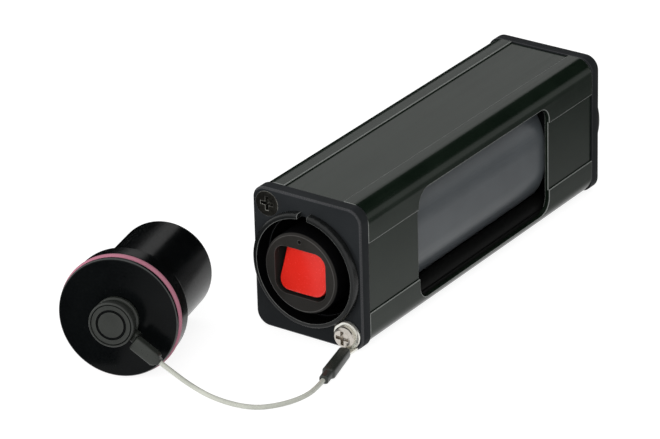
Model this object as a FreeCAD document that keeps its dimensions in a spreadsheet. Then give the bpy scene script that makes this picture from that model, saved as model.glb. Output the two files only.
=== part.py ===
"""In-line fibre coupler with a tethered dust cap, in millimetres.

The coupler stands on its base: the origin is the middle of that base, +X is right as seen from the
front port, +Y runs from the front port to the rear one and +Z is up. The cap lies in front of it.
"""
import FreeCAD, Part
import Sketcher
import math
import os
import re

# Driving sizes: name, value, what it measures.
TABLE = [
    ("coupler_length", 90.0, "over both flange faces"),
    ("flange_width", 26.0, "D-size flange, across"),
    ("flange_height", 31.0, "D-size flange, up"),
    ("flange_thickness", 2.75, "flange plate"),
    ("flange_corner", 3.0, "flange corner radius"),
    ("flange_chamfer", 0.4, "edge of the flange face"),
    ("panel_depth", 0.35, "sunk panels below the corner strips"),
    ("top_panel_width", 14.2, "sunk panel on top"),
    ("side_panel_height", 15.4, "sunk panel on each side"),
    ("profile_corner", 3.8, "corner radius of the profile"),
    ("side_wall", 1.2, "profile wall at a side's corner strips"),
    ("top_wall", 1.3, "profile wall at the top's corner strips and underneath"),
    ("window_length", 49.2, "side window along the profile"),
    ("window_height", 24.5, "side window, up"),
    ("window_setback", 0.4, "side window's middle behind the profile's middle"),
    ("window_drop", 0.55, "side window's middle below the profile's middle"),
    ("window_corner", 3.3, "side window corner radius"),
    ("screw_inset", 3.5, "D-size hole pattern, to each edge of the flange"),
    ("screw_port_radius", 1.95, "round rib that a flange screw runs into"),
    ("screw_radius", 1.5, "flange screw shank"),
    ("screw_length", 11.0, "flange screw below its head's top"),
    ("screw_clearance", 0.05, "radial, around a shank"),
    ("screw_head_radius", 2.75, "countersunk head"),
    ("recess_arm_length", 3.0, "cross recess, tip to tip"),
    ("recess_arm_width", 0.7, "cross recess arm"),
    ("recess_depth", 0.9, "cross recess"),
    ("pan_head_radius", 2.3, "head of the lanyard screw"),
    ("pan_head_height", 1.5, "head of the lanyard screw"),
    ("pan_head_edge", 0.5, "bevel around the lanyard screw's head"),
    ("tube_top_clearance", 0.4, "inner tube to the profile's top wall"),
    ("tube_clearance", 0.3, "inner tube to the profile's side wall"),
    ("tube_rib_clearance", 0.12, "inner tube to the profile's screw ribs"),
    ("tube_wall", 1.0, "inner tube wall"),
    ("housing_depth", 19.4, "flange face to the barrel's back end"),
    ("barrel_clearance", 0.05, "barrel to the profile's side wall"),
    ("barrel_wall", 0.8, "barrel around the port's bore"),
    ("collar_wall", 1.1, "round collar on the flange, around the mouth"),
    ("collar_rise", 1.6, "collar above the flange face"),
    ("collar_chamfer", 0.4, "collar's outer edge"),
    ("mouth_step", 0.35, "wide mouth of the port beyond its bore"),
    ("mouth_depth", 4.0, "wide mouth below the collar's top"),
    ("keyway_width", 2.3, "notch in the top of the collar"),
    ("insert_radius", 8.7, "round insert in the port"),
    ("insert_rise", 2.6, "insert above the flange face"),
    ("insert_chamfer", 0.5, "insert's front edge"),
    ("insert_base_thickness", 2.0, "disc that carries the insert"),
    ("port_side_wall", 2.6, "insert beside its window"),
    ("port_roof_wall", 3.5, "insert above and below its window"),
    ("port_window_corner", 2.5, "window corner radius at the lip"),
    ("port_window_lip", 1.4, "lip with the round corners"),
    ("port_hole_corner", 1.0, "corner radius behind the lip"),
    ("index_hole_radius", 0.4, "small blind hole above the window"),
    ("index_hole_rise", 1.7, "small hole above the window"),
    ("index_hole_depth", 0.8, "small blind hole"),
    ("hinge_setback", 3.3, "shutter pin behind the insert's face"),
    ("hinge_pocket_rise", 1.05, "roof of the hinge pocket above the window"),
    ("hinge_headroom", 1.05, "shutter pin below the pocket's roof"),
    ("hinge_pocket_depth", 9.0, "hinge pocket behind the pin"),
    ("hinge_pocket_inset", 0.8, "hinge pocket inside the window's sides"),
    ("hinge_clearance", 0.25, "knuckle to the pocket's front wall"),
    ("pin_radius", 0.4, "shutter pin"),
    ("pin_grip", 1.0, "shutter pin in the insert, each side"),
    ("pin_clearance", 0.05, "running fit of the knuckle, radial"),
    ("knuckle_radius", 0.8, "shutter knuckle"),
    ("knuckle_side_gap", 0.8, "shutter knuckle to the pocket's sides"),
    ("shutter_thickness", 0.7, "shutter plate"),
    ("shutter_end_gap", 0.4, "shutter's length short of the window's height"),
    ("shutter_side_gap", 0.3, "shutter's lower edge to the window's sides"),
    ("shutter_corner", 2.2, "lower corners of the shutter"),
    ("shutter_lean", 14.5, "degrees that the closed shutter's lower edge stands forward"),
    ("spring_thickness", 0.2, "leaf spring strip"),
    ("spring_width", 3.0, "leaf spring strip"),
    ("spring_reach", 7.7, "leaf spring along the roof, behind the pin"),
    ("spring_bend_setback", 1.45, "bend of the leaf spring behind the pin"),
    ("spring_drop", 2.6, "leaf spring's tip below the pin"),
    ("spring_tip", 0.28, "leaf spring's tip, front to back"),
    ("spring_gap", 0.05, "leaf spring's tip to the shutter"),
    ("adapter_setback", 14.6, "adapter's front behind the insert's face"),
    ("adapter_length", 15.0, "adapter"),
    ("adapter_clearance", 0.05, "adapter in the insert, each side"),
    ("adapter_flange_thickness", 1.0, "adapter flange behind the insert"),
    ("adapter_flange_overlap", 0.7, "adapter flange beyond the hole"),
    ("adapter_side_wall", 1.4, "adapter beside the jumper's plug"),
    ("adapter_roof_wall", 1.9, "adapter above and below the jumper's plug"),
    ("plug_clearance", 0.05, "plug in the adapter, each side"),
    ("plug_setback", 1.5, "plug's nose behind the adapter's front"),
    ("plug_collar_step", 0.9, "plug's grip beyond its nose, each side"),
    ("plug_collar_length", 5.0, "plug's grip"),
    ("boot_width", 5.0, "plug's boot, across"),
    ("boot_height", 3.4, "plug's boot, up"),
    ("boot_length", 5.0, "plug's boot"),
    ("plug_side_wall", 1.4, "plug beside the ferrule"),
    ("plug_roof_wall", 1.95, "plug above and below the ferrule"),
    ("ferrule_length", 8.0, "ferrule"),
    ("ferrule_rise", 1.5, "ferrule in front of the plug's nose"),
    ("guide_pin_radius", 0.35, "guide pins in the ferrule"),
    ("guide_pin_inset", 0.9, "guide pins to the ferrule's sides"),
    ("guide_pin_length", 6.0, "guide pins"),
    ("guide_pin_rise", 1.5, "guide pins in front of the ferrule"),
    ("ribbon_width", 3.1, "fibre ribbon"),
    ("ribbon_thickness", 0.4, "fibre ribbon"),
    ("ribbon_grip", 3.0, "fibre ribbon inside each boot"),
    ("lug_radius", 3.0, "lanyard lug's ring"),
    ("lug_thickness", 0.8, "lanyard lug's ring"),
    ("lug_collar_gap", 0.1, "lanyard lug's ring to the flange's collar"),
    ("tab_across", 1.35, "lug's tab beside the screw"),
    ("tab_drop", 2.6, "lug's tab below the screw"),
    ("tab_width", 1.8, "lug's tab"),
    ("tab_thickness", 0.6, "lug's tab"),
    ("tab_length", 3.0, "lug's tab in front of the flange"),
    ("crimp_gap", 0.3, "lug's tab to its crimp"),
    ("crimp_turn", 14.64, "degrees that the lug's crimp points to the right"),
    ("lug_crimp_radius", 1.35, "crimp at the lug"),
    ("lug_crimp_length", 12.5, "crimp at the lug"),
    ("crimp_neck_radius", 0.9, "narrow end of each crimp"),
    ("crimp_neck_length", 2.5, "narrow end of the lug's crimp"),
    ("wire_diameter", 1.0, "lanyard wire"),
    ("wire_grip", 2.0, "lanyard wire inside each crimp"),
    ("wire_clearance", 0.05, "lanyard wire in a crimp, radial"),
    ("cap_across", -22.3, "middle of the cap's face, from the coupler's middle"),
    ("cap_ahead", 78.13, "middle of the cap's face, in front of the coupler's middle"),
    ("cap_turn", 18.3, "degrees that the cap's face is turned to the right"),
    ("cap_head_radius", 12.35, "cap's head"),
    ("cap_head_thickness", 6.65, "cap's head"),
    ("cap_face_chamfer", 0.3, "edge of the cap's face"),
    ("cap_barrel_radius", 10.05, "cap's barrel"),
    ("cap_length", 28.9, "cap's face to the barrel's end"),
    ("cap_bore_radius", 9.1, "cap's hollow"),
    ("cap_bore_depth", 21.0, "cap's hollow"),
    ("seal_setback", 1.93, "seal ring behind the cap's face"),
    ("seal_section_radius", 0.9, "seal ring's section"),
    ("seal_rise", 0.3, "seal ring beyond the head"),
    ("button_radius", 4.65, "cap's rivet head"),
    ("button_rise", 4.2, "cap's rivet above the face"),
    ("button_thickness", 1.4, "cap's rivet head"),
    ("button_chamfer", 0.4, "edge of the rivet head"),
    ("post_radius", 2.4, "cap's rivet shank"),
    ("post_depth", 4.0, "cap's rivet shank in the head"),
    ("eyelet_radius", 4.6, "ring around the rivet"),
    ("eyelet_side_gap", 0.15, "ring to the face and to the rivet head"),
    ("eyelet_clearance", 0.05, "ring on the rivet, radial"),
    ("eyelet_tab_width", 2.2, "ring's tab"),
    ("eyelet_tab_overlap", 0.7, "ring's tab inside the ring's edge"),
    ("tether_drop", 35.0, "degrees that the tether leaves the rivet below level"),
    ("cap_crimp_start", 5.5, "crimp on the cap, from the rivet's axis"),
    ("cap_crimp_end", 12.0, "crimp on the cap, from the rivet's axis"),
    ("cap_crimp_radius", 1.3, "crimp on the cap"),
    ("cap_crimp_lift", 2.1, "crimp to the cap's face"),
    ("cap_neck_length", 0.7, "narrow end of the crimp on the cap"),
]
SIZE = {name: value for name, value, meaning in TABLE}

# Places along a port's axis, measured outward from the coupler's middle.
FACE = "coupler_length / 2"
INSERT_FACE = f"{FACE} + insert_rise"
HINGE = f"{INSERT_FACE} - hinge_setback"
BACK = f"{FACE} - housing_depth"
ADAPTER_FRONT = f"{INSERT_FACE} - adapter_setback"
ADAPTER_BACK = f"{ADAPTER_FRONT} - adapter_length"
PLUG_NOSE = f"{ADAPTER_FRONT} - plug_setback"
BOOT_BACK = f"{ADAPTER_BACK} - plug_collar_length - boot_length"

# What fits in the profile: each piece takes its size from the one around it and a wall or gap.
SCREW_ACROSS = "(flange_width / 2 - screw_inset)"
SCREW_UP = "(flange_height / 2 - screw_inset)"
BARREL_RADIUS = "(flange_width / 2 - side_wall - barrel_clearance)"
BORE_RADIUS = f"({BARREL_RADIUS} - barrel_wall)"
MOUTH_RADIUS = f"({BORE_RADIUS} + mouth_step)"
COLLAR_RADIUS = f"({MOUTH_RADIUS} + collar_wall)"
WINDOW_TOP = "(insert_radius - port_roof_wall)"
PORT_WINDOW = ("(2 * (insert_radius - port_side_wall))", f"(2 * {WINDOW_TOP})")
POCKET_TOP = f"({WINDOW_TOP} + hinge_pocket_rise)"
POCKET_WIDTH = f"({PORT_WINDOW[0]} - 2 * hinge_pocket_inset)"
HINGE_UP = f"({POCKET_TOP} - hinge_headroom)"
PIN_LENGTH = f"({POCKET_WIDTH} + 2 * pin_grip)"
KNUCKLE_LENGTH = f"({POCKET_WIDTH} - 2 * knuckle_side_gap)"
SHUTTER_LENGTH = f"({PORT_WINDOW[1]} - shutter_end_gap)"
SHUTTER_TIP = f"({PORT_WINDOW[0]} - 2 * shutter_side_gap)"
ADAPTER = [f"({size} - 2 * adapter_clearance)" for size in PORT_WINDOW]
ADAPTER_WALLS = ("adapter_side_wall", "adapter_roof_wall")
ADAPTER_HOLE = [f"({size} - 2 * {wall})" for size, wall in zip(ADAPTER, ADAPTER_WALLS)]
PLUG = [f"({size} - 2 * plug_clearance)" for size in ADAPTER_HOLE]
FERRULE = [f"({size} - 2 * {wall})" for size, wall in zip(PLUG, ("plug_side_wall", "plug_roof_wall"))]

doc = FreeCAD.newDocument("coupler")
sheet = doc.addObject("Spreadsheet::Sheet", "Sizes")
for row, (name, value, meaning) in enumerate(TABLE, start=1):
    sheet.set(f"A{row}", meaning)
    sheet.set(f"B{row}", str(value))
    sheet.setAlias(f"B{row}", name)
doc.recompute()
pieces = {}


def bind(item, prop, formula):
    """Ties a property to a formula of the sheet's names."""
    named = re.sub(r"[a-z]\w+", lambda m: f"Sizes.{m[0]}" if m[0] in SIZE else m[0], formula)
    item.setExpression(prop, named)


def new_body(label, base=("0", "0", "flange_height / 2"), turn=0.0, lean=0.0, roll=0.0):
    """A body whose +Z looks forward, its +X right and its +Y up, before it is turned, leant and rolled."""
    body = doc.addObject("PartDesign::Body", label)
    facing = FreeCAD.Rotation(FreeCAD.Vector(0, 0, 1), turn)
    upright = FreeCAD.Rotation(FreeCAD.Vector(1, 0, 0), 90 - lean)
    rolled = FreeCAD.Rotation(FreeCAD.Vector(0, 0, 1), roll)
    body.Placement = FreeCAD.Placement(FreeCAD.Vector(), facing * upright * rolled)
    for axis, formula in zip("xyz", base):
        bind(body, f"Placement.Base.{axis}", formula)
    pieces[label] = body
    return body


def new_sketch(body, plane="XY_Plane", offset="0", shift=("0", "0")):
    """A sketch on one of the body's own origin planes, moved along that plane's normal and shifted in it."""
    sketch = body.newObject("Sketcher::SketchObject", f"{body.Name}_sketch")
    support = next(item for item in body.Origin.OriginFeatures if item.Role == plane)
    sketch.AttachmentSupport = [(support, "")]
    sketch.MapMode = "FlatFace"
    for axis, formula in zip("xyz", (*shift, offset)):
        bind(sketch, f"AttachmentOffset.Base.{axis}", formula)
    return sketch


def tie_point(sketch, geometry, position, across, up):
    """Holds one point of a sketch at formulas of the sheet's names."""
    now = sketch.getPoint(geometry, position)
    for kind, formula, value in (("DistanceX", across, now.x), ("DistanceY", up, now.y)):
        index = sketch.addConstraint(Sketcher.Constraint(kind, -1, 1, geometry, position, value))
        bind(sketch, f"Constraints[{index}]", formula)


def add_circle(sketch, radius, across="0", up="0"):
    """A circle with its radius and its centre tied."""
    ring = Part.Circle(FreeCAD.Vector(1, 1, 0), FreeCAD.Vector(0, 0, 1), 1.0)
    index = sketch.addGeometry(ring, False)
    held = sketch.addConstraint(Sketcher.Constraint("Radius", index, 1.0))
    bind(sketch, f"Constraints[{held}]", radius)
    tie_point(sketch, index, 3, across, up)
    return sketch


def add_outline(sketch, corners):
    """A closed outline with a straight side between each two corners."""
    angles = [2 * math.pi * i / len(corners) for i in range(len(corners))]
    start = [FreeCAD.Vector(math.cos(angle), math.sin(angle), 0) for angle in angles]
    lines = [sketch.addGeometry(Part.LineSegment(here, there), False)
             for here, there in zip(start, start[1:] + start[:1])]
    for i, (across, up) in enumerate(corners):
        sketch.addConstraint(Sketcher.Constraint("Coincident", lines[i - 1], 2, lines[i], 1))
        tie_point(sketch, lines[i], 1, across, up)
    return sketch


def add_box(sketch, width, height, across="0", up="0"):
    """A rectangle about a centre."""
    sides = [(-1, -1), (1, -1), (1, 1), (-1, 1)]
    corners = [(f"{across} + {x} * ({width}) / 2", f"{up} + {y} * ({height}) / 2") for x, y in sides]
    return add_outline(sketch, corners)


def add_rounded_box(sketch, width, height, radius):
    """A centred rectangle with round corners: four sides tied at both ends, and an arc between each two."""
    near, far = 4.0, 5.0  # where the points start, before they are tied
    inner_x, inner_y = f"({width}) / 2 - {radius}", f"({height}) / 2 - {radius}"
    level = (inner_x, f"({height}) / 2", near, far)
    upright = (f"({width}) / 2", inner_y, far, near)
    corners = ((1, -1), (1, 1), (-1, 1), (-1, -1))
    sides = []
    for i, side in enumerate((level, upright, level, upright)):
        ends = (corners[i - 1], corners[i])
        points = [FreeCAD.Vector(x * side[2], y * side[3], 0) for x, y in ends]
        sides.append(sketch.addGeometry(Part.LineSegment(*points), False))
        for position, (x, y) in enumerate(ends, start=1):
            tie_point(sketch, sides[i], position, f"{x} * ({side[0]})", f"{y} * ({side[1]})")
    for i, (x, y) in enumerate(corners):
        circle = Part.Circle(FreeCAD.Vector(near * x, near * y, 0), FreeCAD.Vector(0, 0, 1), far - near)
        begin = math.radians(90 * i - 90)
        arc = sketch.addGeometry(Part.ArcOfCircle(circle, begin, begin + math.pi / 2), False)
        sketch.addConstraint(Sketcher.Constraint("Coincident", sides[i], 2, arc, 1))
        sketch.addConstraint(Sketcher.Constraint("Coincident", arc, 2, sides[(i + 1) % 4], 1))
        index = sketch.addConstraint(Sketcher.Constraint("DistanceX", -1, 1, arc, 3, near * x))
        bind(sketch, f"Constraints[{index}]", f"{x} * ({inner_x})")
    return sketch


def pad(body, sketch, length, inward=False, centred=False, kind="PartDesign::Pad"):
    """Adds the sketch's shape, or cuts it with the kind Pocket, which starts out inward."""
    feature = body.newObject(kind, f"{body.Name}_feature")
    feature.Profile = sketch
    feature.SideType = "Symmetric" if centred else "One side"
    feature.Reversed = inward
    bind(feature, "Length", length)
    work_out(body, sketch, feature)


def work_out(body, *items):
    """Brings new features of one body up to date, in order."""
    for item in (*items, body):
        item.recompute()
        item.purgeTouched()


def cut(body, sketch, length, outward=False, centred=False):
    """Cuts the sketch's shape out of the body, and fails where that removes nothing."""
    before = body.Shape.Volume
    pad(body, sketch, length, outward, centred, "PartDesign::Pocket")
    if body.Shape.Volume > before - 1e-6:
        raise RuntimeError(f"a cut in {body.Label} removed nothing")


def turn_solid(body, corners):
    """A solid of revolution about the body's Z axis, from (radius, height) corners."""
    sketch = add_outline(new_sketch(body, "XZ_Plane"), corners)
    feature = body.newObject("PartDesign::Revolution", f"{body.Name}_turned")
    feature.Profile = sketch
    feature.ReferenceAxis = (sketch, ["V_Axis"])
    work_out(body, sketch, feature)


def dress(body, kind, prop, size, choose):
    """A fillet or chamfer on the edges of the body that a test chooses."""
    base = body.Tip
    names = [f"Edge{i}" for i, edge in enumerate(base.Shape.Edges, start=1) if choose(edge)]
    feature = body.newObject(f"PartDesign::{kind}", f"{body.Name}_edges")
    feature.Base = (base, names)
    bind(feature, prop, size)
    work_out(body, feature)


def is_upright(edge):
    """True for a straight edge along the body's Z axis."""
    return isinstance(edge.Curve, Part.Line) and abs(edge.tangentAt(edge.FirstParameter).z) > 0.999


def chamfer_at(body, height, size):
    """Chamfers every edge that lies at one height along the body's Z axis."""
    def is_there(edge):
        heights = [vertex.Z for vertex in edge.Vertexes] + [edge.CenterOfMass.z]
        return all(abs(z - height) < 1e-4 for z in heights)

    dress(body, "Chamfer", "Size", size, is_there)


def extruded_profile():
    """The outer tube: three sunk panels, four screw ribs and a long window in each side."""
    body = new_body("body_profile")
    length = "coupler_length - 2 * flange_thickness"
    strips = add_rounded_box(new_sketch(body), "flange_width", "flange_height", "profile_corner")
    pad(body, strips, length, centred=True)
    panels = [("top_panel_width", "panel_depth", "0", "(flange_height - panel_depth) / 2")]
    panels += [("panel_depth", "side_panel_height", f"{side} * (flange_width - panel_depth) / 2", "0")
               for side in (1, -1)]
    for panel in panels:
        cut(body, add_box(new_sketch(body), *panel), length, centred=True)
    cavity = ("flange_width - 2 * side_wall", "flange_height - 2 * top_wall")
    cut(body, add_box(new_sketch(body), *cavity), length, centred=True)
    web = ("flange_width / 2 - side_wall", "flange_height / 2 - top_wall")
    for x, y in ((1, 1), (1, -1), (-1, 1), (-1, -1)):
        centre = (f"{x} * {SCREW_ACROSS}", f"{y} * {SCREW_UP}")
        corners = [centre, (f"{x} * ({web[0]})", centre[1]), (f"{x} * ({web[0]})", f"{y} * ({web[1]})"),
                   (centre[0], f"{y} * ({web[1]})")]
        pad(body, add_outline(new_sketch(body), corners), length, centred=True)
        pad(body, add_circle(new_sketch(body), "screw_port_radius", *centre), length, centred=True)
        hole = add_circle(new_sketch(body), "screw_radius + screw_clearance", *centre)
        cut(body, hole, length, centred=True)
    window_middle = ("-window_drop", "-window_setback")
    for side in (1, -1):
        sketch = new_sketch(body, "YZ_Plane", f"{side} * flange_width / 2", window_middle)
        cut(body, add_rounded_box(sketch, "window_height", "window_length", "window_corner"), "side_wall",
            outward=side < 0)


def oval_tube():
    """The grey tube between the two housings, a flat oval clear of the profile's walls and screw ribs."""
    body = new_body("inner_tube")
    length = f"2 * ({BACK})"
    half_width = "(flange_width / 2 - side_wall - tube_clearance)"
    below_wall = f"flange_height / 2 - top_wall - tube_top_clearance - {half_width}"
    rib_distance = f"({half_width} + screw_port_radius + tube_rib_clearance)"
    below_ribs = f"{SCREW_UP} - sqrt({rib_distance} ^ 2 - {SCREW_ACROSS} ^ 2)"
    lift = f"min({below_wall}; {below_ribs})"
    pad(body, add_box(new_sketch(body), f"2 * {half_width}", f"2 * {lift}"), length, centred=True)
    for side in (1, -1):
        pad(body, add_circle(new_sketch(body), half_width, "0", f"{side} * {lift}"), length, centred=True)
    bore = f"({half_width} - tube_wall)"
    cut(body, add_box(new_sketch(body), f"2 * {bore}", f"2 * {lift}"), length, centred=True)
    for side in (1, -1):
        cut(body, add_circle(new_sketch(body), bore, "0", f"{side} * {lift}"), length, centred=True)


def housing(end, turn):
    """Die-cast flange with the port's collar, and the barrel that reaches into the profile."""
    body = new_body(f"{end}_housing", turn=turn)
    face = SIZE["coupler_length"] / 2
    plate = add_rounded_box(new_sketch(body, offset=FACE), "flange_width", "flange_height", "flange_corner")
    pad(body, plate, "flange_thickness", inward=True)
    chamfer_at(body, face, "flange_chamfer")
    pad(body, add_circle(new_sketch(body, offset=FACE), COLLAR_RADIUS), "collar_rise")
    chamfer_at(body, face + SIZE["collar_rise"], "collar_chamfer")
    barrel = new_sketch(body, offset=f"{FACE} - flange_thickness")
    pad(body, add_circle(barrel, BARREL_RADIUS), "housing_depth - flange_thickness", inward=True)
    top = f"{FACE} + collar_rise"
    cut(body, add_circle(new_sketch(body, offset=top), MOUTH_RADIUS), "mouth_depth")
    cut(body, add_circle(new_sketch(body, offset=top), BORE_RADIUS), "collar_rise + housing_depth")
    cut(body, add_box(new_sketch(body, offset=top), "keyway_width", COLLAR_RADIUS, up=COLLAR_RADIUS),
        "collar_rise")
    for side in (-1, 1):
        centre = (f"{side} * {SCREW_ACROSS}", f"{-side} * {SCREW_UP}")
        hole = new_sketch(body, offset=FACE)
        cut(body, add_circle(hole, "screw_radius + screw_clearance", *centre), "flange_thickness")
        cone = body.newObject("PartDesign::SubtractiveCone", f"{end}_countersink")
        bind(cone, "Radius1", "screw_radius")
        bind(cone, "Radius2", "screw_head_radius")
        bind(cone, "Height", "screw_head_radius - screw_radius")
        for axis, formula in zip("xyz", (*centre, f"{FACE} - (screw_head_radius - screw_radius)")):
            bind(cone, f"Placement.Base.{axis}", formula)
        work_out(body, cone)


def insert(end, turn):
    """Moulded insert on a disc in the housing's bore, with the shutter's window and hinge pocket."""
    body = new_body(f"{end}_insert", turn=turn)
    face = SIZE["coupler_length"] / 2 + SIZE["insert_rise"]
    pad(body, add_circle(new_sketch(body, offset=INSERT_FACE), "insert_radius"),
        "insert_rise + housing_depth", inward=True)
    chamfer_at(body, face, "insert_chamfer")
    pad(body, add_circle(new_sketch(body, offset=BACK), BORE_RADIUS), "insert_base_thickness")
    lip = new_sketch(body, offset=INSERT_FACE)
    cut(body, add_rounded_box(lip, *PORT_WINDOW, "port_window_corner"), "port_window_lip")
    behind = new_sketch(body, offset=f"{INSERT_FACE} - port_window_lip")
    cut(body, add_rounded_box(behind, *PORT_WINDOW, "port_hole_corner"), "insert_rise + housing_depth")
    pocket = new_sketch(body, offset=f"{HINGE} + knuckle_radius + hinge_clearance")
    cut(body, add_box(pocket, POCKET_WIDTH, POCKET_TOP, up=f"{POCKET_TOP} / 2"),
        "knuckle_radius + hinge_clearance + hinge_pocket_depth")
    pin_hole = add_circle(new_sketch(body, "YZ_Plane"), "pin_radius", HINGE_UP, HINGE)
    cut(body, pin_hole, PIN_LENGTH, centred=True)
    mark = new_sketch(body, offset=INSERT_FACE)
    cut(body, add_circle(mark, "index_hole_radius", up=f"{WINDOW_TOP} + index_hole_rise"), "index_hole_depth")


def shutter_set(end, turn, facing):
    """The red flap, the pin that it turns on and the leaf spring that closes it."""
    base = ("0", f"{facing} * ({HINGE})", f"flange_height / 2 + {HINGE_UP}")
    pin = new_body(f"{end}_shutter_pin", base, turn)
    pad(pin, add_circle(new_sketch(pin, "YZ_Plane"), "pin_radius"), PIN_LENGTH, centred=True)

    flap = new_body(f"{end}_shutter", base, turn, SIZE["shutter_lean"])
    pad(flap, add_circle(new_sketch(flap, "YZ_Plane"), "knuckle_radius"), KNUCKLE_LENGTH, centred=True)
    corners = [(f"-{KNUCKLE_LENGTH} / 2", "0"), (f"-{SHUTTER_TIP} / 2", f"-{SHUTTER_LENGTH}"),
               (f"{SHUTTER_TIP} / 2", f"-{SHUTTER_LENGTH}"), (f"{KNUCKLE_LENGTH} / 2", "0")]
    pad(flap, add_outline(new_sketch(flap), corners), "shutter_thickness", centred=True)
    under = -SIZE["knuckle_radius"]
    dress(flap, "Fillet", "Radius", "shutter_corner", lambda e: is_upright(e) and e.CenterOfMass.y < under)
    pin_hole = add_circle(new_sketch(flap, "YZ_Plane"), "pin_radius + pin_clearance")
    cut(flap, pin_hole, PIN_LENGTH, centred=True)

    spring = new_body(f"{end}_shutter_spring", turn=turn)
    plate_back = "spring_drop * tan(shutter_lean) - shutter_thickness / 2 / cos(shutter_lean)"
    tip_out = f"{HINGE} + {plate_back} - spring_gap"
    tip_up = f"{HINGE_UP} - spring_drop"
    bend = f"{HINGE} - spring_bend_setback"
    middle_up = f"{HINGE_UP} - knuckle_radius"
    end_out = f"{HINGE} - spring_reach"
    corners = [(POCKET_TOP, end_out), (POCKET_TOP, f"{bend} + spring_thickness"),
               (middle_up, f"{bend} + spring_thickness"), (tip_up, tip_out),
               (tip_up, f"{tip_out} - spring_tip"), (f"{middle_up} - spring_thickness / 2", bend),
               (f"{POCKET_TOP} - spring_thickness", bend), (f"{POCKET_TOP} - spring_thickness", end_out)]
    pad(spring, add_outline(new_sketch(spring, "YZ_Plane"), corners), "spring_width", centred=True)


def jumper_end(end, turn):
    """Adapter in the insert, and the plug, ferrule and guide pins of the jumper inside the coupler."""
    adapter = new_body(f"{end}_adapter", turn=turn)
    block = add_rounded_box(new_sketch(adapter, offset=ADAPTER_FRONT), *ADAPTER, "port_hole_corner")
    pad(adapter, block, "adapter_length", inward=True)
    flange = [f"{size} + 2 * adapter_flange_overlap" for size in PORT_WINDOW]
    pad(adapter, add_box(new_sketch(adapter, offset=BACK), *flange), "adapter_flange_thickness", inward=True)
    cut(adapter, add_box(new_sketch(adapter, offset=ADAPTER_FRONT), *ADAPTER_HOLE), "adapter_length")

    plug = new_body(f"{end}_plug", turn=turn)
    nose_box = add_box(new_sketch(plug, offset=PLUG_NOSE), *PLUG)
    pad(plug, nose_box, "adapter_length - plug_setback", inward=True)
    grip = [f"{size} + 2 * plug_collar_step" for size in PLUG]
    pad(plug, add_box(new_sketch(plug, offset=ADAPTER_BACK), *grip), "plug_collar_length", inward=True)
    pad(plug, add_box(new_sketch(plug, offset=BOOT_BACK), "boot_width", "boot_height"), "boot_length")
    nose = new_sketch(plug, offset=PLUG_NOSE)
    cut(plug, add_box(nose, *FERRULE), "ferrule_length - ferrule_rise")
    slot = new_sketch(plug, offset=BOOT_BACK)
    cut(plug, add_box(slot, "ribbon_width", "ribbon_thickness"), "ribbon_grip", outward=True)

    ferrule = new_body(f"{end}_ferrule", turn=turn)
    tip = f"{PLUG_NOSE} + ferrule_rise"
    pad(ferrule, add_box(new_sketch(ferrule, offset=tip), *FERRULE), "ferrule_length", inward=True)
    depth = "guide_pin_length - guide_pin_rise"
    for side in (1, -1):
        name = "right" if side > 0 else "left"
        across = f"{side} * ({FERRULE[0]} / 2 - guide_pin_inset)"
        cut(ferrule, add_circle(new_sketch(ferrule, offset=tip), "guide_pin_radius", across), depth)
        pin = new_body(f"{end}_{name}_guide_pin", turn=turn)
        pad(pin, add_circle(new_sketch(pin, offset=f"{tip} + guide_pin_rise"), "guide_pin_radius", across),
            "guide_pin_length", inward=True)


def fibre_ribbon():
    """The jumper's ribbon between the two boots."""
    body = new_body("fibre_ribbon")
    pad(body, add_box(new_sketch(body), "ribbon_width", "ribbon_thickness"),
        f"2 * ({BOOT_BACK} + ribbon_grip)", centred=True)


def cross_recess(body, top):
    """Two crossed slots in a screw's head."""
    for arms in (("recess_arm_length", "recess_arm_width"), ("recess_arm_width", "recess_arm_length")):
        cut(body, add_box(new_sketch(body, offset=top), *arms), "recess_depth")


def screw_place(across, up, facing, height=FACE):
    """A place on the flange's hole pattern, picked by signs, at a height along the port's axis."""
    return (f"{across} * {SCREW_ACROSS}", f"{facing} * ({height})", f"flange_height / 2 + {up} * {SCREW_UP}")


def flange_screw(label, across, up, turn, facing):
    """Countersunk screw with a cross recess, flush with the flange."""
    body = new_body(label, screw_place(across, up, facing), turn)
    turn_solid(body, [("0", "0"), ("screw_head_radius", "0"),
                      ("screw_radius", "-(screw_head_radius - screw_radius)"),
                      ("screw_radius", "-screw_length"), ("0", "-screw_length")])
    cross_recess(body, "0")


def lanyard_screw():
    """Pan-head screw that holds the lanyard's lug on the front flange."""
    body = new_body("lanyard_screw", screw_place(1, -1, -1, f"{FACE} + lug_thickness"))
    turn_solid(body, [("0", "pan_head_height"), ("pan_head_radius - pan_head_edge", "pan_head_height"),
                      ("pan_head_radius", "pan_head_height - pan_head_edge"), ("pan_head_radius", "0"),
                      ("screw_radius", "0"), ("screw_radius", "-screw_length"), ("0", "-screw_length")])
    cross_recess(body, "pan_head_height")


def lug():
    """Stamped ring under the lanyard screw, cut clear of the collar, with a tab bent into the crimp."""
    body = new_body("lanyard_lug", screw_place(1, -1, -1))
    pad(body, add_circle(new_sketch(body), "lug_radius"), "lug_thickness")
    tab = add_box(new_sketch(body), "tab_width", "tab_thickness", "tab_across", "-tab_drop")
    pad(body, tab, "tab_length")
    cut(body, add_circle(new_sketch(body), "screw_radius + screw_clearance"), "lug_thickness", outward=True)
    relief = add_circle(new_sketch(body), f"{COLLAR_RADIUS} + lug_collar_gap", f"-{SCREW_ACROSS}", SCREW_UP)
    pad(body, relief, "lug_thickness", inward=True, kind="PartDesign::Pocket")


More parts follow.
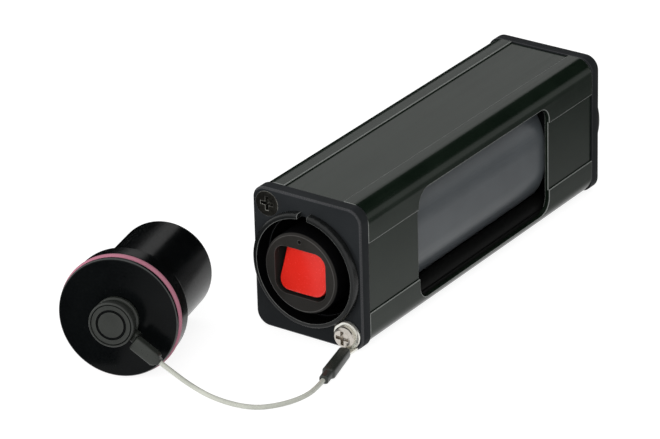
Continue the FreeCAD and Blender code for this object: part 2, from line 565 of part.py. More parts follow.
def crimp(body, plane, start, length, radius, neck, up="0"):
    """A pressed sleeve with a narrow end that grips the wire, along the plane's normal."""
    pad(body, add_circle(new_sketch(body, plane, start), radius, "0", up), f"{length} - {neck}")
    narrow = new_sketch(body, plane, f"{start} + {length} - {neck}")
    pad(body, add_circle(narrow, "crimp_neck_radius", "0", up), neck)
    mouth = new_sketch(body, plane, f"{start} + {length}")
    cut(body, add_circle(mouth, "wire_diameter / 2 + wire_clearance", "0", up), "wire_grip")


def lug_crimp():
    """The sleeve in front of the lug's tab, lying on the ground."""
    base = (f"{SCREW_ACROSS} + tab_across", f"-({FACE} + tab_length + crimp_gap)", "lug_crimp_radius")
    sleeve = new_body("lug_crimp", base, SIZE["crimp_turn"])
    crimp(sleeve, "XY_Plane", "0", "lug_crimp_length", "lug_crimp_radius", "crimp_neck_length")


def cap_pieces():
    """The turned dust cap, lying on its head's back edge and its barrel's end, with the tether's end."""
    step = SIZE["cap_head_radius"] - SIZE["cap_barrel_radius"]
    lean = math.degrees(math.atan2(step, SIZE["cap_length"] - SIZE["cap_head_thickness"]))
    rise = f"cap_length * sin({lean}) + cap_barrel_radius * cos({lean})"
    base = ("cap_across", "-cap_ahead", rise)
    turn = SIZE["cap_turn"]

    cap = new_body("cap_body", base, turn, lean)
    seal_centre = "cap_head_radius + seal_rise - seal_section_radius"
    groove_floor = f"{seal_centre} - seal_section_radius"
    groove_front = "-seal_setback + seal_section_radius"
    groove_back = "-seal_setback - seal_section_radius"
    bore_floor = "-(cap_length - cap_bore_depth)"
    turn_solid(cap, [("0", "0"), ("cap_head_radius - cap_face_chamfer", "0"),
                     ("cap_head_radius", "-cap_face_chamfer"), ("cap_head_radius", groove_front),
                     (groove_floor, groove_front), (groove_floor, groove_back),
                     ("cap_head_radius", groove_back), ("cap_head_radius", "-cap_head_thickness"),
                     ("cap_barrel_radius", "-cap_head_thickness"), ("cap_barrel_radius", "-cap_length"),
                     ("cap_bore_radius", "-cap_length"), ("cap_bore_radius", bore_floor), ("0", bore_floor)])
    cut(cap, add_circle(new_sketch(cap), "post_radius"), "post_depth")

    seal = new_body("cap_seal_ring", base, turn, lean)
    section = add_circle(new_sketch(seal, "XZ_Plane"), "seal_section_radius", seal_centre, "-seal_setback")
    ring = seal.newObject("PartDesign::Revolution", "cap_seal_ring_turned")
    ring.Profile = section
    ring.ReferenceAxis = (section, ["V_Axis"])
    work_out(seal, section, ring)

    button = new_body("cap_button", base, turn, lean)
    head_under = "button_rise - button_thickness"
    turn_solid(button, [("0", "button_rise"), ("button_radius - button_chamfer", "button_rise"),
                        ("button_radius", "button_rise - button_chamfer"), ("button_radius", head_under),
                        ("post_radius", head_under), ("post_radius", "-post_depth"), ("0", "-post_depth")])

    eyelet = new_body("cap_eyelet", base, turn, lean, -SIZE["tether_drop"])
    thickness = f"{head_under} - 2 * eyelet_side_gap"
    pad(eyelet, add_circle(new_sketch(eyelet, offset="eyelet_side_gap"), "eyelet_radius"), thickness)
    tab = new_sketch(eyelet, offset="eyelet_side_gap")
    tab_start = "eyelet_radius - eyelet_tab_overlap"
    pad(eyelet, add_box(tab, f"cap_crimp_start - ({tab_start})", "eyelet_tab_width",
                        f"(cap_crimp_start + {tab_start}) / 2"), thickness)
    hole = new_sketch(eyelet, offset="eyelet_side_gap")
    cut(eyelet, add_circle(hole, "post_radius + eyelet_clearance"), thickness, outward=True)

    sleeve = new_body("cap_crimp", base, turn, lean, -SIZE["tether_drop"])
    crimp(sleeve, "YZ_Plane", "cap_crimp_start", "cap_crimp_end - cap_crimp_start", "cap_crimp_radius",
          "cap_neck_length", "cap_crimp_radius + cap_crimp_lift")


# Lanyard: the points that its wire bends at, from inside the cap's crimp to inside the lug's crimp.
WIRE_ROUTE = [(-13.276, -79.329, 7.613), (-10.568, -78.645, 5.673), (-5.0, -77.9, 2.6), (0.8, -77.3, 0.9),
              (7.9, -75.9, 0.5), (12.0, -71.9, 0.6), (14.5, -66.9, 0.95), (14.46, -62.14, 1.35),
              (13.5, -58.46, 1.35)]
ARC_SHARE = 0.45


def lanyard_wire():
    """Straight runs joined by arcs as large as the runs allow."""
    points = [FreeCAD.Vector(*point) for point in WIRE_ROUTE]
    edges = []
    start = points[0]
    for before, corner, after in zip(points, points[1:], points[2:]):
        into, out = (corner - before).normalize(), (after - corner).normalize()
        reach = ARC_SHARE * min((corner - before).Length, (after - corner).Length)
        turn = into.getAngle(out)
        radius = reach / math.tan(turn / 2)
        middle = corner + (out - into).normalize() * radius * (1 / math.cos(turn / 2) - 1)
        print(f"wire bend: {math.degrees(turn):.1f} degrees, radius {radius:.1f} mm")
        first, last = corner - into * reach, corner + out * reach
        edges.append(Part.LineSegment(start, first).toShape())
        edges.append(Part.Arc(first, middle, last).toShape())
        start = last
    edges.append(Part.LineSegment(start, points[-1]).toShape())
    path = Part.Wire(edges)
    radius = SIZE["wire_diameter"] / 2
    section = Part.Wire(Part.Circle(points[0], points[1] - points[0], radius).toShape())
    wire = doc.addObject("Part::Feature", "lanyard_wire")
    wire.Shape = path.makePipeShell([section], True, False)
    share = wire.Shape.Volume / (math.pi * radius ** 2 * path.Length)
    print(f"wire length {path.Length:.2f} mm, volume share {share:.5f}")
    pieces["lanyard_wire"] = wire


extruded_profile()
oval_tube()
for end, turn, facing in (("front", 0.0, -1), ("rear", 180.0, 1)):
    housing(end, turn)
    insert(end, turn)
    shutter_set(end, turn, facing)
    jumper_end(end, turn)
fibre_ribbon()
flange_screw("front_upper_screw", -1, 1, 0.0, -1)
flange_screw("rear_upper_screw", 1, 1, 180.0, 1)
flange_screw("rear_lower_screw", -1, -1, 180.0, 1)
lanyard_screw()
lug()
lug_crimp()
cap_pieces()
lanyard_wire()

for item in doc.Objects:
    if "Invalid" in item.State or "Error" in item.State:
        raise RuntimeError(f"{item.Name} failed: {item.State}")
os.makedirs("parts", exist_ok=True)
for label, item in pieces.items():
    if item.Shape.isNull() or not item.Shape.isValid():
        raise RuntimeError(f"{label} has no valid shape")
for label, item in pieces.items():
    item.Shape.exportStep(f"parts/{label}.step")
print(len(pieces), "pieces written")
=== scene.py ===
import math

import bmesh
import bpy
from mathutils import Matrix, Vector


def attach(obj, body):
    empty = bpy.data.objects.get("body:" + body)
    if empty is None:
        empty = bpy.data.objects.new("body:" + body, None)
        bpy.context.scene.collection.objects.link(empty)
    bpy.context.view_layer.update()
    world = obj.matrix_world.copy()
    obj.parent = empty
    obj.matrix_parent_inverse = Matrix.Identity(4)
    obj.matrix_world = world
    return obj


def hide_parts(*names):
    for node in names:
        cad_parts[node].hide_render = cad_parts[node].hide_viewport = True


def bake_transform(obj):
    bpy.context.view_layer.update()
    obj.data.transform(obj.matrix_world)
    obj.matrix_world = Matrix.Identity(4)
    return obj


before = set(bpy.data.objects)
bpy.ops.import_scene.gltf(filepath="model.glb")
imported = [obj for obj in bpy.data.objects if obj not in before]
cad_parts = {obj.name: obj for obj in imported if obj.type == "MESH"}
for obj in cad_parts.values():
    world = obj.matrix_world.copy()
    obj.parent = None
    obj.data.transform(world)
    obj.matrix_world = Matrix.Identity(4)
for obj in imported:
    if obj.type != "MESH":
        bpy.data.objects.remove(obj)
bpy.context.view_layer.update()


# Body profile
# A square tube of extruded aluminium, black anodised, with sunk panels on top and at the sides and a long
# window milled through the left and right walls. The screws at both ends run into its four inner ribs.
MM = 0.001
WELD_GAP = 1e-6
COLOUR_DRIFT = 7.0
GRAIN_STRETCH = 200
GRAIN_DETAIL = 3.0
GRAIN_IN_COLOUR = 0.4
COLOUR_STOPS = (0.35, 0.65)
GLOSS_SPAN = (0.3, 0.7)


def link(name, mesh, finishes, body, nodes):
    """Puts a smooth piece in the scene that stands for CAD nodes and, given a body, moves with it."""
    for face in mesh.polygons:
        face.use_smooth = True
    for finish in finishes:
        mesh.materials.append(finish)
    piece = bpy.data.objects.new(name, mesh)
    bpy.context.collection.objects.link(piece)
    even = piece.modifiers.new("even_shading", "WEIGHTED_NORMAL")
    even.keep_sharp = True
    if body:
        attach(piece, body)
    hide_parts(*nodes)
    return piece


def eased_solid(node, ease, sharp=38.0):
    """A solid's mesh whose outer edges are eased by a small radius, in the mesh's second finish."""
    def is_sharp(edge):
        return edge.calc_face_angle(0.0) > math.radians(sharp)

    work = bmesh.new()
    work.from_mesh(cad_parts[node].data)
    bmesh.ops.remove_doubles(work, verts=work.verts, dist=WELD_GAP)
    bmesh.ops.bevel(work, geom=[e for e in work.edges if e.is_convex and is_sharp(e)], offset=ease * MM,
                    offset_type="OFFSET", segments=2, profile=0.5, affect="EDGES", clamp_overlap=False,
                    loop_slide=False, material=1)
    for edge in work.edges:
        edge.smooth = not is_sharp(edge)
    return work


def mesh_of(work, name):
    """Closes a bmesh into a mesh."""
    bmesh.ops.recalc_face_normals(work, faces=work.faces)
    mesh = bpy.data.meshes.new(name)
    work.to_mesh(mesh)
    work.free()
    return mesh


def new_finish(name):
    """A new material with its nodes and links."""
    material = bpy.data.materials.new(name)
    material.use_nodes = True
    return material, material.node_tree.nodes, material.node_tree.links


def ranged(nodes, *limits):
    """A node that maps one range to another, from its low and high to the other's low and high."""
    node = nodes.new("ShaderNodeMapRange")
    for socket, value in zip(("From Min", "From Max", "To Min", "To Max"), limits):
        node.inputs[socket].default_value = value
    return node


def grained(name, dark, light, rough, grain, relief=0.0, run=None, shine=0.5, metal=0.0, settings=None):
    """A finish whose colour drifts broadly and whose gloss and relief follow a fine grain, in millimetres."""
    material, nodes, links = new_finish(name)
    shader = nodes["Principled BSDF"]
    for socket, value in {"Specular IOR Level": shine, "Metallic": metal, **(settings or {})}.items():
        shader.inputs[socket].default_value = value
    place = nodes.new("ShaderNodeTexCoord")
    stretch = nodes.new("ShaderNodeMapping")
    spacing = [grain * MM * (GRAIN_STRETCH if axis == run else 1) for axis in range(3)]
    stretch.inputs["Scale"].default_value = [1 / step for step in spacing]
    fine = nodes.new("ShaderNodeTexNoise")
    fine.inputs["Scale"].default_value = 1.0
    fine.inputs["Detail"].default_value = GRAIN_DETAIL
    broad = nodes.new("ShaderNodeTexNoise")
    broad.inputs["Scale"].default_value = 1 / (COLOUR_DRIFT * MM)
    blend = nodes.new("ShaderNodeMix")
    blend.inputs["Factor"].default_value = GRAIN_IN_COLOUR
    tone = nodes.new("ShaderNodeValToRGB")
    for stop, position, colour in zip(tone.color_ramp.elements, COLOUR_STOPS, (dark, light)):
        stop.position = position
        stop.color = (*colour, 1.0)
    gloss = ranged(nodes, *GLOSS_SPAN, *rough)
    links.new(place.outputs["Object"], stretch.inputs["Vector"])
    links.new(place.outputs["Object"], broad.inputs["Vector"])
    links.new(stretch.outputs["Vector"], fine.inputs["Vector"])
    links.new(broad.outputs["Fac"], blend.inputs["A"])
    links.new(fine.outputs["Fac"], blend.inputs["B"])
    links.new(blend.outputs["Result"], tone.inputs["Fac"])
    links.new(tone.outputs["Color"], shader.inputs["Base Color"])
    links.new(fine.outputs["Fac"], gloss.inputs["Value"])
    links.new(gloss.outputs["Result"], shader.inputs["Roughness"])
    if relief:
        bump = nodes.new("ShaderNodeBump")
        bump.inputs["Distance"].default_value = relief * MM
        links.new(fine.outputs["Fac"], bump.inputs["Height"])
        links.new(bump.outputs["Normal"], shader.inputs["Normal"])
    return material


AXIS_HEIGHT = 15.5
CAVITY_HALF_WIDTH, CAVITY_HALF_HEIGHT = 11.9, 14.3
INSIDE_SHADE = 2
anodised = grained("black_anodising", (0.004, 0.0082, 0.005), (0.007, 0.0122, 0.008), (0.17, 0.25), 0.35,
                   relief=0.004, run=1, shine=0.2, settings={"Specular Tint": (0.93, 1.0, 0.91, 1)})
# Lighter copy of the anodising on the profile's eased edges: a painted highlight for the light lines along
# them.
anodised_edge_painted_highlight = grained("anodised_edge_painted_highlight", (0.15, 0.16, 0.15), (0.21, 0.222, 0.21), (0.2, 0.3), 0.35, run=1,
                        shine=0.7)
# Darker, duller copy of the anodising for the faces inside the cavity: painted shade in the hollow.
anodising_painted_shade = grained("anodising_painted_shade", (0.002, 0.0022, 0.002), (0.003, 0.0032, 0.003), (0.5, 0.65),
                          0.35, relief=0.004, run=1, shine=0.08)
profile_work = eased_solid("body_profile", ease=0.16)
# Faces inside the cavity take the painted shade.
for face in profile_work.faces:
    middle = face.calc_center_median() / MM
    if abs(middle.x) < CAVITY_HALF_WIDTH and abs(middle.z - AXIS_HEIGHT) < CAVITY_HALF_HEIGHT:
        face.material_index = INSIDE_SHADE
link("profile", mesh_of(profile_work, "profile"), [anodised, anodised_edge_painted_highlight, anodising_painted_shade], "coupler",
     ["body_profile"])


# Inner tube
# A flat-oval tube of grey satin aluminium that lines the profile and shows in its side windows. It is cut
# to length and held between the two housings.
grey_satin = grained("grey_satin", (0.058, 0.066, 0.072), (0.07, 0.079, 0.086), (0.28, 0.36), 0.3,
                     relief=0.003, run=1, shine=0.4)


def link_eased(name, node, ease, finishes):
    """Puts a solid with eased edges in the scene, as a piece of the coupler."""
    link(name, mesh_of(eased_solid(node, ease), name), finishes, "coupler", [node])


link_eased("tube", "inner_tube", 0.1, [grey_satin] * 2)


# Front and rear housings
# Die-cast flanges with a round collar and a barrel, painted black with a fine grain. Each is held to the
# profile by its screws, and a notch in the top of the collar keys the connector.
ENDS = ("front", "rear")
FLANGE_FACE = 45.0
FACE_MARGIN = 0.05
MOUTH_RADIUS = 11.35
CHAMFER_SLOPE = (0.6, 0.8)
FLAT_SLOPE = 0.9
cast_paint = grained("cast_paint", (0.0125, 0.014, 0.0155), (0.0175, 0.0192, 0.0208), (0.5, 0.62), 0.16,
                     relief=0.01, shine=0.05)
# Lighter, glossier copy of the cast paint on the flange chamfers: a painted highlight for the light line
# along them.
cast_chamfer_painted_highlight = grained("cast_chamfer_painted_highlight", (0.015, 0.016, 0.018), (0.024, 0.025, 0.0275), (0.22, 0.32), 0.16,
                    shine=0.35)
collar_paint = grained("collar_paint", (0.006, 0.0066, 0.0066), (0.009, 0.0098, 0.0098), (0.2, 0.3), 0.16,
                       relief=0.004, shine=0.3)
# Much lighter copy of the collar paint on the collar's eased edges: a painted highlight for its light rims.
collar_edge_painted_highlight = grained("collar_edge_painted_highlight", (0.09, 0.094, 0.09), (0.14, 0.145, 0.14), (0.2, 0.3), 0.16, shine=0.6)
collar_face = grained("collar_face", (0.006, 0.0066, 0.0066), (0.009, 0.0098, 0.0098), (0.3, 0.4), 0.16,
                      relief=0.004, shine=0.2)
# Much darker copy of the cast paint for the bore and the inserts' outer sides: painted shade inside the port.
bore_painted_shade = grained("bore_painted_shade", (0.0015, 0.0015, 0.0018), (0.003, 0.003, 0.0034), (0.5, 0.62), 0.16,
                       relief=0.006, shine=0.05)
housing_finishes = [cast_paint, cast_chamfer_painted_highlight, collar_paint, bore_painted_shade, collar_face, collar_edge_painted_highlight]
PAINT, EDGE, COLLAR, BARREL, COLLAR_FACE, COLLAR_EDGE = range(len(housing_finishes))
for end in ENDS:
    node = f"{end}_housing"
    housing_work = eased_solid(node, ease=0.09, sharp=60.0)
    for face in housing_work.faces:
        middle = face.calc_center_median() / MM
        from_axis = math.hypot(middle.x, middle.z - AXIS_HEIGHT)
        on_collar = abs(middle.y) > FLANGE_FACE + FACE_MARGIN
        slope = abs(face.normal.y)
        # Chamfer faces take the painted highlight.
        if CHAMFER_SLOPE[0] < slope < CHAMFER_SLOPE[1] and abs(middle.y) < FLANGE_FACE:
            face.material_index = EDGE
        # Faces inside the bore take the painted shade.
        elif from_axis < MOUTH_RADIUS and face.material_index == PAINT:
            face.material_index = BARREL
        elif on_collar and face.material_index == PAINT:
            face.material_index = COLLAR_FACE if slope > FLAT_SLOPE else COLLAR
        # The collar's eased edges take the painted highlight.
        elif on_collar:
            face.material_index = COLLAR_EDGE
    link(node + "_cast", mesh_of(housing_work, node), housing_finishes, "coupler", [node])


# Port inserts
# Round mouldings of brown-black glass-filled plastic, pressed into the barrels. The rounded window in
# each lets the connector in, and a small blind hole above it marks the upright side.
INSERT_RADIUS = 8.7
RIM_MARGIN = 0.1
INSERT_SIDE = 2
filled_plastic = grained("filled_plastic", (0.0165, 0.0155, 0.014), (0.0235, 0.022, 0.0205), (0.42, 0.55),
                         0.22, relief=0.008, shine=0.08)
# Lighter copy of the moulding on the insert's eased edges: a painted highlight for its rim line.
filled_edge_painted_highlight = grained("filled_edge_painted_highlight", (0.032, 0.03, 0.028), (0.048, 0.045, 0.043), (0.3, 0.42), 0.22,
                      shine=0.3)
for end in ENDS:
    node = f"{end}_insert"
    insert_work = eased_solid(node, ease=0.1)
    for face in insert_work.faces:
        middle = face.calc_center_median() / MM
        # The insert's outer sides take the bore's painted shade.
        if math.hypot(middle.x, middle.z - AXIS_HEIGHT) > INSERT_RADIUS - RIM_MARGIN:
            face.material_index = INSERT_SIDE
    link(node + "_moulded", mesh_of(insert_work, node), [filled_plastic, filled_edge_painted_highlight, bore_painted_shade],
         "coupler", [node])


# Shutters with their pins and springs
# Red moulded flaps that hang on steel pins behind the windows, each bowed outward a little. A leaf spring
# of bright steel, fixed along the roof of the port, bends down to push the flap shut.
HINGE_UP = 20.7
SHUTTER_BOW = 0.4
BOW_FADE = 3.0
SHUTTER_HALF_WIDTH = 5.8
SHUTTER_STRIPS = 22
SHUTTER_CUTS = [SHUTTER_HALF_WIDTH * (2 * strip / SHUTTER_STRIPS - 1) for strip in range(1, SHUTTER_STRIPS)]
SPRING_CUTS = [18.4 + 0.3 * step for step in range(11)]
red_plastic = grained("red_plastic", (0.76, 0.02, 0.012), (0.84, 0.028, 0.017), (0.2, 0.28), 0.4,
                      relief=0.002)
spring_steel = grained("spring_steel", (0.5, 0.5, 0.49), (0.6, 0.6, 0.58), (0.2, 0.32), 0.12,
                       relief=0.002, run=0, metal=1.0)


def slice_along(work, places, axis):
    """Cuts a bmesh into strips at places along an axis, so that it can bend between them."""
    for place in places:
        bmesh.ops.bisect_plane(work, geom=work.verts[:] + work.edges[:] + work.faces[:],
                               plane_co=[place * MM * part for part in axis], plane_no=axis)


for end, outward in zip(ENDS, (-1, 1)):
    shutter, pin, spring = (f"{end}_shutter{part}" for part in ("", "_pin", "_spring"))
    flap = eased_solid(shutter, ease=0.12, sharp=60.0)
    slice_along(flap, SHUTTER_CUTS, (1, 0, 0))
    for vert in flap.verts:
        below_hinge = min(max((HINGE_UP * MM - vert.co.z) / (BOW_FADE * MM), 0.0), 1.0)
        crown = 1 - (vert.co.x / (SHUTTER_HALF_WIDTH * MM)) ** 2
        vert.co.y += outward * SHUTTER_BOW * MM * below_hinge * crown
    link(f"{end}_flap", mesh_of(flap, f"{end}_flap"), [red_plastic] * 2, shutter, [shutter])
    link_eased(pin + "_turned", pin, 0.05, [spring_steel] * 2)
    leaf = eased_solid(spring, ease=0.03)
    slice_along(leaf, SPRING_CUTS, (0, 0, 1))
    leaf_piece = link(spring + "_leaf", mesh_of(leaf, spring), [spring_steel] * 2, None, [spring])
    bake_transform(leaf_piece)


# Jumper inside
# Two moulded adapters hold the plugs of a short fibre jumper in line with the ports. The plugs and their
# ferrules are moulded, the guide pins are ground steel and the ribbon carries twelve coated fibres.
jumper_plastic = grained("jumper_plastic", (0.02, 0.02, 0.021), (0.03, 0.03, 0.032), (0.4, 0.52), 0.3,
                         relief=0.006, shine=0.4)
ferrule_resin = grained("ferrule_resin", (0.028, 0.027, 0.025), (0.045, 0.043, 0.04), (0.3, 0.42), 0.12,
                        relief=0.004)
ribbon_coat = grained("ribbon_coat", (0.03, 0.42, 0.45), (0.06, 0.55, 0.56), (0.3, 0.4), 0.25, run=1)


def dress(node, finish):
    """Gives a finish to a solid that is shown as it is."""
    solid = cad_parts[node].data
    solid.materials.clear()
    solid.materials.append(finish)


for part, finish in (("adapter", jumper_plastic), ("plug", jumper_plastic), ("ferrule", ferrule_resin),
                     ("left_guide_pin", spring_steel), ("right_guide_pin", spring_steel)):
    for end in ENDS:
        dress(f"{end}_{part}", finish)
dress("fibre_ribbon", ribbon_coat)


# Flange screws
# Countersunk machine screws with a cross recess, blackened steel, one at the upper left of the front
# flange and two on a diagonal of the rear one.
blackened_steel = grained("blackened_steel", (0.028, 0.028, 0.025), (0.06, 0.058, 0.05), (0.26, 0.38), 0.5,
                          relief=0.004, metal=0.85)
# Much lighter copy of the blackened steel on the screws' eased edges: a painted highlight for their light
# rims.
screw_rim_painted_highlight = grained("screw_rim_painted_highlight", (0.24, 0.24, 0.22), (0.34, 0.34, 0.31), (0.24, 0.34), 0.5,
                         metal=0.9)
for node in ("front_upper_screw", "rear_upper_screw", "rear_lower_screw"):
    link_eased(node + "_cut", node, 0.09, [blackened_steel, screw_rim_painted_highlight])


# Lanyard screw and lug
# A nickel-plated pan-head screw at the lower right of the front flange clamps the lanyard's stamped ring
# terminal, whose tongue bends forward into the crimp.
nickel_plate = grained("nickel_plate", (0.5, 0.465, 0.415), (0.62, 0.58, 0.53), (0.24, 0.34), 0.5,
                       relief=0.002, metal=1.0)
tinned_stamping = grained("tinned_stamping", (0.82, 0.83, 0.76), (0.93, 0.94, 0.88), (0.24, 0.36), 0.3,
                          relief=0.004, metal=0.8)
link_eased("lanyard_screw_turned", "lanyard_screw", 0.1, [nickel_plate] * 2)
link_eased("lug_stamped", "lanyard_lug", 0.14, [tinned_stamping, nickel_plate])


# Lanyard
# A thin wire rope in a clear coat, pressed into a dark sleeve at each end. One sleeve starts at the lug,
# the other at the eyelet that turns on the cap's rivet, and the wire lies on the ground between them.
CAP_FACE = (-22.3, -78.13, 12.9683)
CAP_TURN = 18.3
CAP_LEAN = 5.9017
TETHER_DROP = 35.0
LUG_SLEEVE_START = (10.855, -48.295, 1.35)
LUG_SLEEVE_TURN = -75.36
dark_sleeve = grained("dark_sleeve", (0.017, 0.0195, 0.0165), (0.028, 0.031, 0.027), (0.26, 0.4), 0.3,
                      relief=0.01, shine=0.35)


def turn_about(axis, degrees):
    """A turn about an axis."""
    return Matrix.Rotation(math.radians(degrees), 4, axis)


cap_place = (Matrix.Scale(MM, 4) @ Matrix.Translation(CAP_FACE) @ turn_about("Z", CAP_TURN)
             @ turn_about("X", 90 - CAP_LEAN))
tether_place = cap_place @ turn_about("Z", -TETHER_DROP)
lug_place = Matrix.Scale(MM, 4) @ Matrix.Translation(LUG_SLEEVE_START) @ turn_about("Z", LUG_SLEEVE_TURN)


def pressed(stations, place, sides=32, square=0.45):
    """A sleeve pressed to a rounded box section, from stations of (along, half width, half height, rise)."""
    def boxed(share):
        return math.copysign(abs(share) ** square, share)

    work = bmesh.new()
    turns = [2 * math.pi * side / sides for side in range(sides)]
    rings = [[work.verts.new((along, boxed(math.cos(turn)) * wide, rise + boxed(math.sin(turn)) * high))
              for turn in turns] for along, wide, high, rise in stations]
    for ring, after in zip(rings, rings[1:]):
        for i in range(sides):
            work.faces.new((ring[i], ring[i - 1], after[i - 1], after[i]))
    work.faces.new(rings[0])
    work.faces.new(rings[-1])
    bmesh.ops.transform(work, matrix=place, verts=work.verts)
    return work


def link_sleeve(name, work, node):
    """Puts a dark metal piece of the lanyard in the scene."""
    return link(name, mesh_of(work, name), [dark_sleeve], "coupler", [node])


lug_stations = [(0.0, 1.05, 1.0, 0.0), (0.35, 1.25, 1.2, 0.0), (5.0, 1.32, 1.2, 0.0), (9.3, 1.4, 1.2, 0.0),
                (9.75, 1.22, 1.05, 0.0), (10.1, 0.97, 0.92, 0.0), (12.2, 0.95, 0.9, 0.0),
                (12.5, 0.82, 0.75, 0.0)]
lug_sleeve = link_sleeve("lug_sleeve", pressed(lug_stations, lug_place, square=0.65), "lug_crimp")
CRIMP_LIFT = 3.4
cap_stations = [(5.5, 1.2, 0.9, CRIMP_LIFT), (5.85, 1.48, 1.15, CRIMP_LIFT), (10.7, 1.5, 1.15, CRIMP_LIFT),
                (11.3, 1.2, 0.95, CRIMP_LIFT), (11.5, 0.85, 0.8, CRIMP_LIFT), (12.0, 0.72, 0.7, CRIMP_LIFT)]
cap_sleeve = link_sleeve("cap_sleeve", pressed(cap_stations, tether_place), "cap_crimp")

ARC_SHARE = 0.45
SEAM_GAP = 1e-5


def eased_corners(outline, ease, steps=4):
    """An open outline of (radius, along) whose inner corners are small arcs."""
    points = [Vector(p) for p in outline]
    eased = [points[0]]
    for before, corner, after in zip(points, points[1:], points[2:]):
        back, on = (before - corner), (after - corner)
        reach = min(ease, back.length * ARC_SHARE, on.length * ARC_SHARE)
        start, end = corner + back.normalized() * reach, corner + on.normalized() * reach
        for step in range(steps + 1):
            t = step / steps
            eased.append(start * (1 - t) ** 2 + corner * 2 * t * (1 - t) + end * t ** 2)
    return eased + [points[-1]]


def turned(outline, place, steps=112):
    """A solid of revolution about the place's own z axis, from an outline of (radius, along)."""
    work = bmesh.new()
    verts = [work.verts.new((p[0], 0.0, p[1])) for p in outline]
    edges = [work.edges.new(pair) for pair in zip(verts, verts[1:])]
    bmesh.ops.spin(work, geom=verts + edges, cent=(0, 0, 0), axis=(0, 0, 1), angle=2 * math.pi, steps=steps,
                   use_merge=True)
    bmesh.ops.remove_doubles(work, verts=work.verts, dist=SEAM_GAP)
    bmesh.ops.transform(work, matrix=place, verts=work.verts)
    return work


eyelet_outline = [(2.45, 1.4), (2.45, 0.15), (4.6, 0.15), (4.6, 0.95), (4.2, 1.1), (4.2, 1.75), (4.5, 1.9),
                  (4.5, 2.65), (2.45, 2.65), (2.45, 1.4)]
eyelet = link_sleeve("eyelet_ring", turned(eased_corners(eyelet_outline, ease=0.12), cap_place), "cap_eyelet")
tab_stations = [(3.9, 1.1, 1.1, 1.4), (5.2, 1.1, 1.25, 1.4), (5.5, 1.0, 1.15, 1.4)]
eyelet_tab = link_sleeve("eyelet_tab", pressed(tab_stations, tether_place), "cap_eyelet")

WIRE_ROUTE = [(-13.276, -79.329, 7.613), (-10.568, -78.645, 5.673), (-5.0, -77.9, 2.6), (0.8, -77.3, 0.9),
              (7.9, -75.9, 0.5), (12.0, -71.9, 0.6), (14.5, -66.9, 0.95), (14.46, -62.14, 1.35),
              (13.5, -58.46, 1.35)]
WIRE_DIAMETER = 1.0
coated_wire = grained("coated_wire", (0.38, 0.39, 0.345), (0.5, 0.51, 0.45), (0.25, 0.35), 0.3,
                      settings={"Coat Weight": 0.4, "Coat Roughness": 0.15})
wire_line = bpy.data.curves.new("wire", "CURVE")
wire_line.dimensions = "3D"
wire_line.bevel_depth = WIRE_DIAMETER / 2 * MM
wire_line.bevel_resolution = 6
wire_line.resolution_u = 16
wire_line.use_fill_caps = True
spline = wire_line.splines.new("NURBS")
spline.points.add(len(WIRE_ROUTE) - 1)
for point, place in zip(spline.points, WIRE_ROUTE):
    point.co = (*(value * MM for value in place), 1.0)
spline.order_u = 3
spline.use_endpoint_u = True
wire_line.materials.append(coated_wire)
wire = bpy.data.objects.new("wire", wire_line)
bpy.context.collection.objects.link(wire)
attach(wire, "coupler")
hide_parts("lanyard_wire")


# Dust cap
# A turned cap of glossy black plastic with a hollow barrel, a pink silicone ring in a groove of its head
# and a grey rivet that holds the lanyard's eyelet. It lies on its side in front of the coupler.
RIM_RADIUS, RIM_BACK = 12.1, -0.35
SEAL_RADIUS = 11.75
SEAL_SECTION = 0.9
SEAL_SETBACK = 1.93
SEAL_STEPS = 24
GROOVES_FROM, GROOVES_TO = 2.6, 4.3
GROOVES_LOW, GROOVES_HIGH = 2.8, 4.0
gloss_black = grained("gloss_black", (0.0018, 0.0022, 0.0024), (0.003, 0.0036, 0.0038), (0.16, 0.24), 0.5,
                      relief=0.0015, shine=0.08)
# Lighter, glossier copy of the gloss black on the rim of the cap's face: a painted highlight for its light
# line.
cap_rim_painted_highlight = grained("cap_rim_painted_highlight", (0.012, 0.014, 0.013), (0.02, 0.023, 0.022), (0.14, 0.22), 0.5,
                       shine=0.6)
pink_silicone = grained("pink_silicone", (0.36, 0.13, 0.185), (0.42, 0.165, 0.22), (0.42, 0.52), 0.3,
                        relief=0.004, shine=0.3)
rivet_grey = grained("rivet_grey", (0.021, 0.023, 0.0205), (0.033, 0.0355, 0.0325), (0.36, 0.46), 0.18,
                     relief=0.004, shine=0.3)


def second_finish(work, radii, heights):
    """Gives the second finish to the cap's faces between two radii and two heights on its axis: a painted
    highlight on the rim, painted shade in the rivet's grooves.
    """
    for face in work.faces:
        middle = cap_place.inverted() @ face.calc_center_median()
        if radii[0] < math.hypot(middle.x, middle.y) < radii[1] and heights[0] < middle.z < heights[1]:
            face.material_index = 1
    return work


cap_outline = [(0.0, -4.0), (2.4, -4.0), (2.4, 0.0), (12.05, 0.0), (12.35, -0.3), (12.35, -1.03),
               (10.85, -1.03), (10.85, -2.83), (12.35, -2.83), (12.35, -6.65), (10.05, -6.65), (10.05, -28.9),
               (9.1, -28.9), (9.1, -7.9), (0.0, -7.9)]
cap_work = second_finish(turned(eased_corners(cap_outline, ease=0.25), cap_place), (RIM_RADIUS, math.inf),
                         (RIM_BACK, math.inf))
link("cap_turned", mesh_of(cap_work, "cap"), [gloss_black, cap_rim_painted_highlight], "cap", ["cap_body"])
seal_turns = [2 * math.pi * step / SEAL_STEPS for step in range(SEAL_STEPS + 1)]
seal_outline = [(SEAL_RADIUS + SEAL_SECTION * math.cos(turn), -SEAL_SETBACK + SEAL_SECTION * math.sin(turn))
                for turn in seal_turns]
link("seal", mesh_of(turned(seal_outline, cap_place), "seal"), [pink_silicone], "cap",
     ["cap_seal_ring"])
